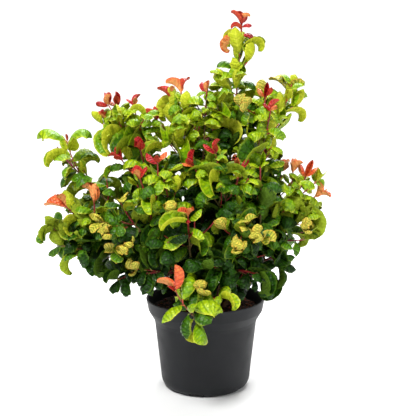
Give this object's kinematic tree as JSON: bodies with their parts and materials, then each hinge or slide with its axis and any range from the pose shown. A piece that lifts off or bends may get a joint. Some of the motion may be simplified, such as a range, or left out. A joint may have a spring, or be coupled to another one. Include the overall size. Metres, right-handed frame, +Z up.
{
  "type": "potted coast leucothoe",
  "caption": "Bushy evergreen shrub with curled glossy leaves, one tall spire and a spray over the rim, in a round nursery pot.",
  "frame": {"origin": "centre of the pot's flat underside, on the surface that it stands on", "axes": "+Z up through the pot's axis to the plant's tip, -Y towards the side seen from the front, +X to the right of that view"},
  "size_m": [0.4456, 0.3449, 0.5851],
  "materials": {
    "pot_plastic": "matte, dark grey",
    "potting_mix": "rough, dark brown",
    "bark": "matte, brown",
    "leaf_lime": "glossy, lime green with red and orange young leaves",
    "leaf_green": "glossy, mid green",
    "leaf_dark": "glossy, dark green"
  },
  "bodies": {
    "root": {"pot": "pot_plastic", "potting_mix": "potting_mix", "stem_spire": "bark", "stem_upper_right": "bark", "stem_right": "bark", "stem_lower_right": "bark", "stem_upper_middle": "bark", "stem_upper_left": "bark", "stem_far_left": "bark", "stem_left": "bark", "stem_front_left": "bark", "stem_front": "bark", "stem_front_right": "bark", "stem_back": "bark", "stem_back_left": "bark", "stem_back_right": "bark", "foliage_spire": "leaf_lime", "foliage_upper_right": "leaf_lime", "foliage_inner_right": "leaf_lime", "foliage_right": "leaf_lime", "foliage_right_low": "leaf_green", "foliage_lower_right": "leaf_dark", "foliage_right_front": "leaf_green", "foliage_upper_middle": "leaf_lime", "foliage_upper_left_inner": "leaf_lime", "foliage_upper_left": "leaf_lime", "foliage_middle_left": "leaf_green", "foliage_far_left": "leaf_lime", "foliage_left_back": "leaf_green", "foliage_left": "leaf_lime", "foliage_low_left": "leaf_green", "foliage_low_left_front": "leaf_dark", "foliage_front_left": "leaf_green", "foliage_front_left_upper": "leaf_lime", "foliage_front_middle": "leaf_lime", "foliage_front_low_left": "leaf_dark", "foliage_front_hanging": "leaf_lime", "foliage_front_tip": "leaf_lime", "foliage_front_right": "leaf_green", "foliage_front_upper": "leaf_lime", "foliage_front_low_right": "leaf_dark", "foliage_front_low_middle": "leaf_dark", "foliage_back": "leaf_green", "foliage_back_top": "leaf_lime", "foliage_back_low": "leaf_dark", "foliage_back_left": "leaf_green", "foliage_back_left_low": "leaf_dark", "foliage_back_right": "leaf_green", "foliage_back_right_low": "leaf_dark"}
  },
  "joints": []
}
